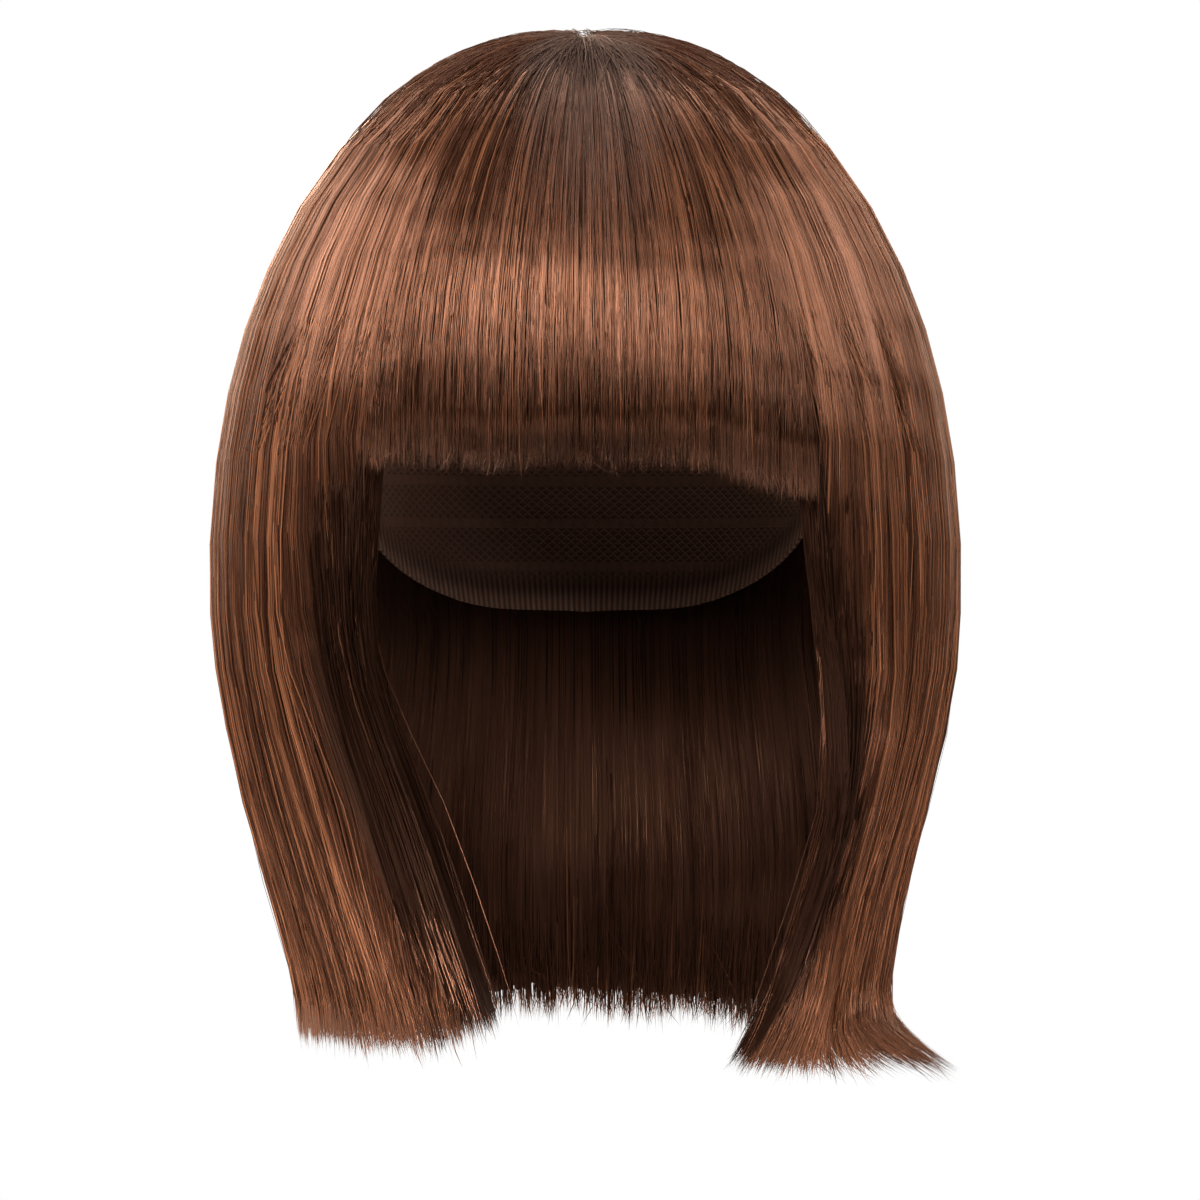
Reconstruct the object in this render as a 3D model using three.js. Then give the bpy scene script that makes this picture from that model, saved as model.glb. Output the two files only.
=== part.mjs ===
// A bob wig with a full straight fringe, in the form that it has when it is worn. Millimetres, +Z up,
// the face towards -Y and the wearer's left at +X. The origin is the point inside the cap that rests on
// the top of the head.
//
// The hair grows from a whorl at the front of the crown and falls in locks over a net cap. Every surface
// is a shell: a dome from the whorl down to its widest level, then a hanging part down to the tips. A
// place on a shell is a heading, the direction in plan from the whorl (0 to the face, positive to the
// wearer's left), and a fall (0 at the whorl, 1 at the widest level, 2 at the tips). All that has one
// heading lies in one upright plane through the whorl.

import * as THREE from 'three';

// The head that the cap fits
const headWidth = 152;
const foreheadReach = 93; // from the middle of the head to the forehead
const occiputReach = 95; // from the middle of the head to the back of it
const headDrop = 100; // from the top of the head down to its widest level
const whorlForward = 30; // the whorl's place in front of the middle of the head

// The cap
const capWall = 1.6;
const seatGap = 0.3; // between the cap and the hair on it
const pieceGap = 0.3; // between one section of hair and the next

// How far the hair stands off the cap
const hairOverCrown = 11.5;
const hairOverForehead = 10;
const hairOverEars = 24.7;
const hairOverOcciput = 20;

// Levels below the top of the head
const fringeLevel = 111;
const fringeDroop = 8; // how much lower the fringe ends at the wearer's left
const widestLevel = 136;
const tipLevel = 272; // the lowest tips, over the wearer's left shoulder
const rightTipRise = 7; // how much higher the tips end on the wearer's right
const frontTipRise = 8; // how much higher again they end there at the edge beside the face

// The hanging hair
const hairLayer = 14; // thickness where it leaves the cap
const tipLayer = 8; // thickness at the tips
const frontEdgeLayer = 7; // thickness at the edges beside the face
const fringeLayer = 6; // thickness of the fringe at its tips
const fringeTuck = 5; // how far the fringe's tips curve back to the brow
const flickReach = 21; // how far the tips over the wearer's left shoulder turn outwards

// The locks
const lockRelief = 2.4; // height of a lock's crest over the grooves beside it
const tipScallop = 4; // how much lower a lock ends at its middle than at its edges
const tipStep = 5; // how much one lock's tip may hang below its neighbour's
const fringeScallop = 2;
const fringeStep = 2.5;

// Shape numbers with no length
const planSquareness = 2.2; // exponent of the level sections, where 2 is an ellipse
const frontFullness = 2.5; // exponent of the dome's profile towards the face
const sideFullness = 2.08;
const backFullness = 2.6;

// Falls, the share of the way down a surface
const whorlRing = 0.2; // where the crown's own hair ends
const freeFringeFall = 0.7; // where the fringe has left the cap
const freeFall = 1.3; // where all other hair has left the cap
const fringeLeaving = 0.22; // over how much fall the inside of the fringe leaves the cap
const hairLeaving = 0.45; // the same for all other hair
const flickFall = 1.86; // where the outward turn of the tips starts

// Headings, in degrees
const flickHeadings = { start: 60, full: 85, fade: 105, end: 150 };
const edgeThickening = 30; // how far behind a front edge the hair has its full thickness
const edgeTipSpread = 22; // how far behind a front edge its tips have come down to the others
const droopShare = 0.45; // the share of the fringe's left half that droops

// How finely the surfaces are made
const stepsAcrossLock = 4;
const crownRows = 3;
const fallStep = 0.1; // from one row to the next, down to where the hair is free
const freeRows = 8; // from there to the tips
const halvings = 40; // when a place is searched for
const nudge = 0.005; // a step of fall small enough to show which way a surface runs

const deg = Math.PI / 180;

// The hanging part, from the widest level to the tips: fall is the share of the way down, and the next
// four columns are shares of the shell's reach to that side at its widest level. The last two are where
// the hair's front edges stand beside the face, as shares of the reach to the side.
const hangingSections = [
  { fall: 0.0, right: 1.0, left: 1.0, front: 1.0, back: 1.0, rightEdge: 0.59, leftEdge: 0.624 },
  { fall: 0.13, right: 0.993, left: 0.995, front: 0.98, back: 0.995, rightEdge: 0.584, leftEdge: 0.648 },
  { fall: 0.26, right: 0.97, left: 0.976, front: 0.945, back: 0.98, rightEdge: 0.54, leftEdge: 0.676 },
  { fall: 0.47, right: 0.909, left: 0.915, front: 0.87, back: 0.94, rightEdge: 0.438, leftEdge: 0.68 },
  { fall: 0.68, right: 0.832, left: 0.845, front: 0.79, back: 0.885, rightEdge: 0.35, leftEdge: 0.6 },
  { fall: 0.84, right: 0.775, left: 0.81, front: 0.735, back: 0.845, rightEdge: 0.281, leftEdge: 0.52 },
  { fall: 1.0, right: 0.76, left: 0.8, front: 0.7, back: 0.82, rightEdge: 0.219, leftEdge: 0.39 },
];

// The cap's rim round one half of the head: a hairline, a tab before the ear, an arch over it, a nape
const capRim = [
  { heading: 0, fall: 0.56 },
  { heading: 30, fall: 0.58 },
  { heading: 54, fall: 0.68 },
  { heading: 74, fall: 0.86 },
  { heading: 90, fall: 1.04 },
  { heading: 100, fall: 1.02 },
  { heading: 115, fall: 0.84 },
  { heading: 128, fall: 0.9 },
  { heading: 143, fall: 1.14 },
  { heading: 160, fall: 1.25 },
  { heading: 180, fall: 1.27 },
];

// How the head narrows below its widest level, as shares of its reach
const napeSections = [
  { fall: 0.0, right: 1.0, left: 1.0, front: 1.0, back: 1.0 },
  { fall: 0.1, right: 0.985, left: 0.985, front: 0.985, back: 0.965 },
  { fall: 0.2, right: 0.95, left: 0.95, front: 0.95, back: 0.895 },
  { fall: 0.3, right: 0.905, left: 0.905, front: 0.905, back: 0.82 },
  { fall: 1.0, right: 0.8, left: 0.8, front: 0.8, back: 0.72 },
];

// The sections of hair round the head, by the headings that bound them
const hairSections = [
  { name: 'fringe', from: 'rightEdge', to: 'leftEdge', locks: 8, short: true },
  { name: 'left_front_lock', from: 'leftEdge', to: 80, locks: 3 },
  { name: 'left_side_hair', from: 80, to: 128, locks: 4 },
  { name: 'back_hair', from: 128, to: 232, locks: 10 },
  { name: 'right_side_hair', from: 232, to: 280, locks: 4 },
  { name: 'right_front_lock', from: 280, to: 'rightEdgeAgain', locks: 3 },
];

// Locks differ, and this pattern repeats round the head: width is relative, crest a share of
// lockRelief, and tip a share of the step between one lock's tip and the next.
const lockPattern = [
  { width: 1.0, crest: 1.0, tip: 0.4 },
  { width: 0.75, crest: 0.7, tip: 0.0 },
  { width: 1.2, crest: 0.9, tip: 1.0 },
  { width: 0.9, crest: 0.6, tip: 0.2 },
  { width: 1.1, crest: 1.0, tip: 0.7 },
];

const colours = { hair: 0x6e3c26, crown: 0x3d2a23, cap: 0x1d1715 };
const hairRoughness = 0.45;
const netRoughness = 0.8;

const mix = (a, b, share) => a + (b - a) * share;

const clamp = (value) => Math.min(1, Math.max(0, value));

const smooth = (value) => {
  const x = clamp(value);
  return x * x * (3 - 2 * x);
};

// Reads one column of a table at a place between its rows, as a smooth curve through them
function column(table, key, place, along = 'fall') {
  const last = table.length - 1;
  let i = 0;
  while (i < last - 1 && place > table[i + 1][along]) i += 1;
  const slope = (k) => {
    const low = table[Math.max(0, k - 1)];
    const high = table[Math.min(last, k + 1)];
    return (high[key] - low[key]) / (high[along] - low[along]);
  };
  const width = table[i + 1][along] - table[i][along];
  const x = clamp((place - table[i][along]) / width);
  const rise = table[i + 1][key] - table[i][key];
  const bend = slope(i) * width * x * (1 - x) * (1 - x) - slope(i + 1) * width * x * x * (1 - x);
  return table[i][key] + rise * (x * x * (3 - 2 * x)) + bend;
}

// A shell's sizes: its reach from the middle to each side, the height of its top and of its widest
// level, and of its tips
const shellOver = (wall, overEars, overForehead, overOcciput, overCrown, widest) => ({
  left: headWidth / 2 + wall + overEars,
  right: headWidth / 2 + wall + overEars,
  front: foreheadReach + wall + overForehead,
  back: occiputReach + wall + overOcciput,
  top: wall + overCrown,
  widest: -widest,
  tips: -tipLevel,
});

const headShell = (thickness) => shellOver(thickness, 0, 0, 0, 0, headDrop);

const outerShell = shellOver(
  capWall + seatGap,
  hairOverEars,
  hairOverForehead,
  hairOverOcciput,
  hairOverCrown,
  widestLevel,
);

// The way to a heading in plan, and the way across it
const towards = (heading) => new THREE.Vector3(Math.sin(heading * deg), -Math.cos(heading * deg), 0);

const across = (heading) => new THREE.Vector3(Math.cos(heading * deg), Math.sin(heading * deg), 0);

// How near a place in plan is to a shell's outline, where 1 is on it. The outline is a superellipse
// whose reach differs to the front and the back and, in the hanging part, to the right and the left.
function nearness(reach, x, y) {
  const side = Math.abs(x) / (x > 0 ? reach.left : reach.right);
  const end = Math.abs(y) / (y > 0 ? reach.back : reach.front);
  return (side ** planSquareness + end ** planSquareness) ** (1 / planSquareness);
}

// The distance in plan from the whorl to an outline
function distanceToOutline(reach, heading) {
  const way = towards(heading);
  let near = 0;
  let far = reach.left + reach.right + reach.front + reach.back;
  for (let i = 0; i < halvings; i += 1) {
    const middle = (near + far) / 2;
    if (nearness(reach, way.x * middle, way.y * middle - whorlForward) < 1) near = middle;
    else far = middle;
  }
  return near;
}

// A place in the upright plane of a heading, by its distance from the whorl and its height
const inPlane = (heading, distance, z) => (
  new THREE.Vector3(0, -whorlForward, z).addScaledVector(towards(heading), distance)
);

// The dome: its height over a place in plan is a superellipse's profile, whose fullness depends on
// the side that it faces
function domePoint(shell, heading, fall) {
  const distance = distanceToOutline(shell, heading) * Math.sin((fall * Math.PI) / 2);
  const point = inPlane(heading, distance, 0);
  const reach = Math.min(1, nearness(shell, point.x, point.y));
  const turn = Math.atan2(Math.abs(point.x) / shell.left, Math.abs(point.y) / shell.back);
  const endFullness = mix(backFullness, frontFullness, smooth(0.5 - point.y / shell.front / 2));
  const fullness = mix(endFullness, sideFullness, Math.sin(turn) ** 2);
  point.z = mix(shell.widest, shell.top, (1 - reach ** fullness) ** (1 / fullness));
  return point;
}

const sharesOf = (table, shell, down) => ({
  right: shell.right * column(table, 'right', down),
  left: shell.left * column(table, 'left', down),
  front: shell.front * column(table, 'front', down),
  back: shell.back * column(table, 'back', down),
});

// A shell: the dome, and below it level outlines that follow a table
function shellPoint(shell, table, heading, fall) {
  if (fall <= 1) return domePoint(shell, heading, fall);
  const distance = distanceToOutline(sharesOf(table, shell, fall - 1), heading);
  return inPlane(heading, distance, mix(shell.widest, shell.tips, fall - 1));
}

// The outside of the hair, without its locks
const outerPoint = (heading, fall) => shellPoint(outerShell, hangingSections, heading, fall);

// The head itself at thickness 0, and the outside of the cap at the cap's wall
const headPoint = (thickness, heading, fall) => (
  shellPoint(headShell(thickness), napeSections, heading, fall)
);

// A heading from -180 to 180, for what is alike or differs on the two sides
const fromFace = (heading) => ((((heading + 180) % 360) + 360) % 360) - 180;

const rimFall = (heading) => column(capRim, 'fall', Math.abs(fromFace(heading)), 'heading');

// The heading of a front edge of the hair, which is where the outline at that fall is as wide as the
// table says
function edgeHeading(side, fall) {
  const down = Math.max(0, fall - 1);
  const outline = sharesOf(hangingSections, outerShell, down);
  const reach = side === 'leftEdge' ? outline.left : outline.right;
  const x = outerShell.left * column(hangingSections, side, down);
  const y = outline.front * (1 - (x / reach) ** planSquareness) ** (1 / planSquareness);
  return Math.atan2(x, y - whorlForward) / deg;
}

// A section's bound as a heading at a fall
function bound(edge, fall) {
  if (edge === 'leftEdge') return edgeHeading('leftEdge', fall);
  if (edge === 'rightEdge') return -edgeHeading('rightEdge', fall);
  if (edge === 'rightEdgeAgain') return 360 - edgeHeading('rightEdge', fall);
  return edge;
}

// How far behind the front edge of the hair a heading lies, in degrees
function behindEdge(heading, fall) {
  const turned = fromFace(heading);
  return Math.abs(turned) - edgeHeading(turned > 0 ? 'leftEdge' : 'rightEdge', fall);
}

// How far the hair at this place is turned outwards or, for the fringe, back to the brow
function turnOut(section, heading, fall) {
  if (section.short) return -fringeTuck * smooth((fall - freeFringeFall) / (1 - freeFringeFall));
  const { start, full, fade, end } = flickHeadings;
  const turned = fromFace(heading);
  const overShoulder = smooth((turned - start) / (full - start)) * smooth((end - turned) / (end - fade));
  return flickReach * overShoulder * clamp((fall - flickFall) / (2 - flickFall)) ** 2;
}

// The thickness of hair that hangs free
function layerAt(section, heading, fall) {
  if (section.short) return fringeLayer;
  const full = mix(hairLayer, tipLayer, smooth(fall - 1));
  return mix(frontEdgeLayer, full, smooth(behindEdge(heading, fall) / edgeThickening));
}

// The inside of the hair: on the cap down to its rim, then a layer's thickness inside the outside
function innerPoint(section, heading, fall) {
  const onCap = headPoint(capWall + seatGap, heading, fall);
  const inwards = turnOut(section, heading, fall) - layerAt(section, heading, fall);
  const free = outerPoint(heading, fall).addScaledVector(towards(heading), inwards);
  const leaving = section.short ? fringeLeaving : hairLeaving;
  return onCap.lerp(free, smooth((fall - rimFall(heading)) / leaving));
}

// The outside of the hair with its locks, where crest is the share of the relief at this place. The
// relief stands square to the surface, in the plane of the heading.
function lockPoint(section, heading, fall, crest) {
  const point = outerPoint(heading, fall);
  const downwards = outerPoint(heading, fall + nudge).sub(outerPoint(heading, Math.max(0, fall - nudge)));
  const outwards = new THREE.Vector3().crossVectors(downwards, across(heading)).normalize();
  point.addScaledVector(outwards, lockRelief * crest * smooth(fall / whorlRing / 2));
  return point.addScaledVector(towards(heading), turnOut(section, heading, fall));
}

// The level at which the edges of a lock end, without its scallop and its step
function cutLevel(section, heading) {
  if (section.short) {
    const share = heading / edgeHeading('leftEdge', 1);
    const droop = fringeDroop * smooth((share - 1 + droopShare) / droopShare);
    return fringeLevel + droop - fringeScallop - fringeStep;
  }
  const toRight = (1 - towards(heading).x) / 2;
  const atEdge = smooth(1 - behindEdge(heading, 2) / edgeTipSpread);
  return tipLevel - (rightTipRise + frontTipRise * atEdge) * toRight - tipScallop - tipStep;
}

// The fall at which the outside of the hair is at a level
function fallAtLevel(heading, level) {
  let low = 0;
  let high = 2;
  for (let i = 0; i < halvings; i += 1) {
    const middle = (low + high) / 2;
    if (outerPoint(heading, middle).z > -level) low = middle;
    else high = middle;
  }
  return low;
}

const steps = (from, to, count) => Array.from({ length: count + 1 }, (_, i) => mix(from, to, i / count));

const domeRows = (to) => steps(whorlRing, to, Math.round((to - whorlRing) / fallStep));

// The falls of a section's rows at one heading. Rows on the cap are at the same falls in every section
// and in the cap, so that their flat faces lie alongside each other.
function rowsOf(section, heading, lower) {
  const end = fallAtLevel(heading, cutLevel(section, heading) + lower);
  const free = section.short ? freeFringeFall : freeFall;
  const rows = section.short ? freeRows / 2 : freeRows;
  return [...domeRows(free), ...steps(free, end, rows).slice(1)];
}

// The places across a section where its locks meet, as shares of its width
function lockEdges(section, first) {
  const widths = Array.from(
    { length: section.locks },
    (_, i) => lockPattern[(first + i) % lockPattern.length].width,
  );
  const whole = widths.reduce((sum, width) => sum + width, 0);
  let reached = 0;
  return [0, ...widths.map((width) => (reached += width) / whole)];
}

// A closed skin of points and triangles
class Skin {
  constructor() {
    this.points = [];
    this.faces = [];
  }

  add(point) {
    this.points.push(point.x, point.y, point.z);
    return this.points.length / 3 - 1;
  }

  // Faces with two like corners have no area and are left out
  triangle(a, b, c) {
    if (a !== b && b !== c && c !== a) this.faces.push(a, b, c);
  }

  quad(a, b, c, d) {
    this.triangle(a, b, c);
    this.triangle(a, c, d);
  }

  mesh(name, colour, roughness) {
    const geometry = new THREE.BufferGeometry();
    geometry.setAttribute('position', new THREE.Float32BufferAttribute(this.points, 3));
    geometry.setIndex(this.faces);
    geometry.computeVertexNormals();
    const material = new THREE.MeshStandardMaterial({ color: colour, roughness, metalness: 0 });
    const mesh = new THREE.Mesh(geometry, material);
    mesh.name = name;
    return mesh;
  }
}

// Joins a lock's row of outer points to the two inner points behind it
function closeLockEnd(skin, outer, innerA, innerB, turned) {
  const face = (a, b, c) => (turned ? skin.triangle(a, c, b) : skin.triangle(a, b, c));
  const middle = Math.floor(outer.length / 2);
  for (let i = 0; i < outer.length - 1; i += 1) {
    face(i < middle ? innerA : innerB, outer[i + 1], outer[i]);
  }
  face(innerA, innerB, outer[middle]);
}

// Moves a point of a piece half a gap away from a place outside the piece
function clearOf(point, outside) {
  const away = point.clone().sub(outside).normalize();
  return point.clone().addScaledVector(away, pieceGap / 2);
}

// The columns of points across the outside of a section: where each stands, as a share of the width,
// how much of the relief it has, and how much lower than the lock edges it ends
function columnsAcross(section, firstLock, edges) {
  const [scallop, step] = section.short ? [fringeScallop, fringeStep] : [tipScallop, tipStep];
  const parts = steps(0, 1, stepsAcrossLock).slice(0, -1);
  const columns = edges.slice(0, -1).flatMap((edge, lock) => {
    const kind = lockPattern[(firstLock + lock) % lockPattern.length];
    return parts.map((part) => {
      const round = Math.sin(part * Math.PI);
      return {
        share: mix(edge, edges[lock + 1], part),
        crest: kind.crest * round,
        lower: step * kind.tip + scallop * round,
      };
    });
  });
  return [...columns, { share: 1, crest: 0, lower: 0 }];
}

// One section of hair as a solid: outer rows with rounded locks, inner rows, and walls all round
function hairSection(section, firstLock) {
  const skin = new Skin();
  const edges = lockEdges(section, firstLock);
  const headingAt = (share, fall) => mix(bound(section.from, fall), bound(section.to, fall), share);
  const endHeading = (share) => headingAt(share, section.short ? 1 : 2);

  // The points at a bound and in the first row leave half a gap to the next piece
  const place = (make, share, fall, row) => {
    const heading = headingAt(share, fall);
    let point = make(heading, fall);
    if (row === 0) point = clearOf(point, make(heading, fall - nudge));
    if (share === 0) point.addScaledVector(across(heading), pieceGap / 2);
    if (share === 1) point.addScaledVector(across(heading), -pieceGap / 2);
    return skin.add(point);
  };
  const outer = columnsAcross(section, firstLock, edges).map(({ share, crest, lower }) => (
    rowsOf(section, endHeading(share), lower).map(
      (fall, row) => place((h, f) => lockPoint(section, h, f, crest), share, fall, row),
    )
  ));
  const inner = edges.map((share) => rowsOf(section, endHeading(share), 0).map(
    (fall, row) => place((h, f) => innerPoint(section, h, f), share, fall, row),
  ));

  const last = outer[0].length - 1;
  for (let row = 0; row < last; row += 1) {
    for (let i = 0; i < outer.length - 1; i += 1) {
      skin.quad(outer[i][row], outer[i][row + 1], outer[i + 1][row + 1], outer[i + 1][row]);
    }
    for (let i = 0; i < section.locks; i += 1) {
      skin.quad(inner[i][row], inner[i + 1][row], inner[i + 1][row + 1], inner[i][row + 1]);
    }
    skin.quad(outer[0][row], inner[0][row], inner[0][row + 1], outer[0][row + 1]);
    const [outerEnd, innerEnd] = [outer.at(-1), inner.at(-1)];
    skin.quad(outerEnd[row], outerEnd[row + 1], innerEnd[row + 1], innerEnd[row]);
  }
  for (let lock = 0; lock < section.locks; lock += 1) {
    const start = lock * stepsAcrossLock;
    const front = outer.slice(start, start + stepsAcrossLock + 1);
    closeLockEnd(skin, front.map((c) => c[0]), inner[lock][0], inner[lock + 1][0], true);
    closeLockEnd(skin, front.map((c) => c[last]), inner[lock][last], inner[lock + 1][last], false);
  }
  return skin.mesh(section.name, colours.hair, hairRoughness);
}

// Every lock edge round the head at the crown, as headings, with the crest of the lock that starts there
function locksRound() {
  let first = 0;
  return hairSections.flatMap((section) => {
    const edges = lockEdges(section, first);
    const [from, to] = [bound(section.from, 0), bound(section.to, 0)];
    const locks = edges.slice(0, -1).map((share, i) => ({
      heading: mix(from, to, share),
      next: mix(from, to, edges[i + 1]),
      crest: lockPattern[(first + i) % lockPattern.length].crest,
    }));
    first += section.locks;
    return locks;
  });
}

// The crown's own hair: a lid over the whorl, with the same locks as the sections that start round it
function crownHair(locks) {
  const skin = new Skin();
  const section = { short: false };
  const rows = steps(0, whorlRing, crownRows);
  const last = rows.length - 1;
  const ring = (make) => rows.map((fall, row) => {
    if (row === 0) return null;
    const point = make(fall);
    return skin.add(row === last ? clearOf(point, make(fall + nudge)) : point);
  });
  const outerPole = skin.add(outerPoint(0, 0));
  const innerPole = skin.add(innerPoint(section, 0, 0));
  const outer = locks.flatMap(({ heading, next, crest }) => steps(0, 1, stepsAcrossLock).slice(0, -1).map(
    (part) => ring((fall) => lockPoint(
      section,
      mix(heading, next, part),
      fall,
      crest * Math.sin(part * Math.PI),
    )),
  ));
  const inner = locks.map(({ heading }) => ring((fall) => innerPoint(section, heading, fall)));
  outer.forEach((c) => (c[0] = outerPole));
  inner.forEach((c) => (c[0] = innerPole));
  const after = (list, i) => list[(i + 1) % list.length];
  for (let row = 0; row < last; row += 1) {
    outer.forEach((c, i) => skin.quad(c[row], c[row + 1], after(outer, i)[row + 1], after(outer, i)[row]));
    inner.forEach((c, i) => skin.quad(c[row], after(inner, i)[row], after(inner, i)[row + 1], c[row + 1]));
  }
  inner.forEach((c, i) => {
    const front = Array.from(
      { length: stepsAcrossLock + 1 },
      (_, k) => outer[(i * stepsAcrossLock + k) % outer.length][last],
    );
    closeLockEnd(skin, front, c[last], after(inner, i)[last], false);
  });
  return skin.mesh('crown_hair', colours.crown, hairRoughness);
}

// The point of a column at a fall between its rows, on the straight line that joins them
function onRows(make, heading, rows, fall) {
  const i = rows.findIndex((row) => row >= fall - 1e-9);
  if (i <= 0) return make(heading, rows[Math.max(0, i)]);
  const share = (fall - rows[i - 1]) / (rows[i] - rows[i - 1]);
  return make(heading, rows[i - 1]).lerp(make(heading, rows[i]), share);
}

// The cap: a wall of even thickness from the whorl to its rim
function wigCap(locks) {
  const skin = new Skin();
  const rows = [...steps(0, whorlRing, crownRows), ...domeRows(freeFall).slice(1)];
  const wall = (thickness) => {
    const make = (heading, fall) => headPoint(thickness, heading, fall);
    const pole = skin.add(make(0, 0));
    return locks.map(({ heading }) => {
      const rim = rimFall(heading);
      let previous = null;
      return rows.map((fall, row) => {
        if (row === 0) return pole;
        if (previous !== null && rows[row - 1] >= rim) return previous;
        previous = skin.add(onRows(make, heading, rows, Math.min(fall, rim)));
        return previous;
      });
    });
  };
  const outer = wall(capWall);
  const inner = wall(0);
  const last = rows.length - 1;
  for (let i = 0; i < locks.length; i += 1) {
    const j = (i + 1) % locks.length;
    for (let row = 0; row < last; row += 1) {
      skin.quad(outer[i][row], outer[i][row + 1], outer[j][row + 1], outer[j][row]);
      skin.quad(inner[i][row], inner[j][row], inner[j][row + 1], inner[i][row + 1]);
    }
    skin.quad(outer[i][last], inner[i][last], inner[j][last], outer[j][last]);
  }
  return skin.mesh('wig_cap', colours.cap, netRoughness);
}

const wig = new THREE.Group();
const locks = locksRound();
wig.add(wigCap(locks));
wig.add(crownHair(locks));
let firstLock = 0;
for (const section of hairSections) {
  wig.add(hairSection(section, firstLock));
  firstLock += section.locks;
}

export default wig;
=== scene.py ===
"""A straight chestnut bob wig with a full fringe, in the form that it has when it is worn. Metres, +Z up,
the face towards -Y and the wearer's left at +X.

Each section of hair is a closed mass with its locks in relief, under several layers of fine strands that
grow from a whorl at the front of the crown. A place in the hair is a heading, the direction in plan from
the whorl in degrees (0 to the face, positive to the wearer's left), a fall (0 at the whorl, 1 at the
widest level, 2 at the tips) and a depth (0 at the outside of a section, 1 at its inside).
"""

import bpy
import numpy as np
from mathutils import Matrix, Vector


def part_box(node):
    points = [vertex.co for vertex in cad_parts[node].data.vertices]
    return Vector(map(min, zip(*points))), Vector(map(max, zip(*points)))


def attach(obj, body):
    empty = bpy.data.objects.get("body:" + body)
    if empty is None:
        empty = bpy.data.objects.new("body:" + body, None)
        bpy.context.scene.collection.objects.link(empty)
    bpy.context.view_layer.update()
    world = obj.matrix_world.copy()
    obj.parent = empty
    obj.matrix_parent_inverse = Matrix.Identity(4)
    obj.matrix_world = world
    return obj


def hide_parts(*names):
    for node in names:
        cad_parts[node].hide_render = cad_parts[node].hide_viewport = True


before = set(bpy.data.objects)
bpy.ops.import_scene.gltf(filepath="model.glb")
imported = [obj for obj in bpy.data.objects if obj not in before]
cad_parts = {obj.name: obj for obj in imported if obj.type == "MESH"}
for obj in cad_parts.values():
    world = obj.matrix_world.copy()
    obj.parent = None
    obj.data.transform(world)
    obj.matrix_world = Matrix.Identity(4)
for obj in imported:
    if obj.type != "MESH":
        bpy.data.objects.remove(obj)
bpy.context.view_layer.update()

rng = np.random.default_rng(11)
MM = 0.001

# The head, the cap and the hair's outside in the grooves between its locks
HEAD_REACH = {"right": 76 * MM, "left": 76 * MM, "front": 93 * MM, "back": 95 * MM}
HEAD_WIDEST = -100 * MM
CAP_WALL = 1.6 * MM
CAP_AND_GAP = 1.9 * MM
HAIR_OVER = {"right": 24.7 * MM, "left": 24.7 * MM, "front": 10 * MM, "back": 20 * MM}
REACH = {side: HEAD_REACH[side] + CAP_AND_GAP + HAIR_OVER[side] for side in HEAD_REACH}
WHORL_FORWARD = 30 * MM

# Levels, from the frame where it has them
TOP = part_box("crown_hair")[1].z
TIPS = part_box("left_side_hair")[0].z
FRINGE_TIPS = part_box("fringe")[0].z
WIDEST = -136 * MM
FLOOR = -540 * MM
FRINGE_DROOP = 8 * MM
RIGHT_TIP_RISE = 7 * MM
FRONT_TIP_RISE = 8 * MM

# The hanging hair
HAIR_LAYER = 14 * MM
TIP_LAYER = 8 * MM
FRONT_EDGE_LAYER = 7 * MM
FRINGE_LAYER = 6 * MM
FRINGE_TUCK = 5 * MM
FLICK_REACH = 21 * MM
LOCK_RELIEF = 1.8 * MM

# Shape numbers
PLAN_SQUARENESS = 2.2
FRONT_FULLNESS = 2.5
SIDE_FULLNESS = 2.08
BACK_FULLNESS = 2.6
FRINGE_FREE = 0.7
FLICK_FROM = 1.86
FLICK_HEADINGS = (60, 85, 105, 150)

# The hanging hair: columns are the fall below the widest level, the shares of the reach to each side,
# and how wide the front edges beside the face, and the edges of the outer layer behind them, stand
# apart as shares of the reach to the side
HANGING = {
    "fall": [0.0, 0.13, 0.26, 0.47, 0.68, 0.84, 1.0],
    "right": [1.0, 0.993, 0.97, 0.909, 0.832, 0.775, 0.76],
    "left": [1.0, 0.995, 0.976, 0.915, 0.845, 0.81, 0.8],
    "front": [1.0, 0.98, 0.945, 0.87, 0.79, 0.735, 0.7],
    "back": [1.0, 0.995, 0.98, 0.94, 0.885, 0.845, 0.82],
    "right_edge": [0.59, 0.584, 0.54, 0.438, 0.35, 0.281, 0.219],
    "left_edge": [0.624, 0.648, 0.676, 0.68, 0.6, 0.52, 0.39],
    "right_layer": [0.74, 0.75, 0.74, 0.66, 0.52, 0.36, 0.2],
    "left_layer": [0.69, 0.71, 0.75, 0.76, 0.68, 0.55, 0.37],
}
NAPE = {"fall": [0.0, 0.1, 0.2, 0.3, 1.0], "back": [1.0, 0.965, 0.895, 0.82, 0.72]}
NAPE["right"] = NAPE["left"] = NAPE["front"] = [1.0, 0.985, 0.95, 0.905, 0.8]
CAP_RIM = {
    "heading": [0, 30, 54, 74, 90, 100, 115, 128, 143, 160, 180],
    "fall": [0.56, 0.58, 0.68, 0.86, 1.04, 1.02, 0.84, 0.9, 1.14, 1.25, 1.27],
}

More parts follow.
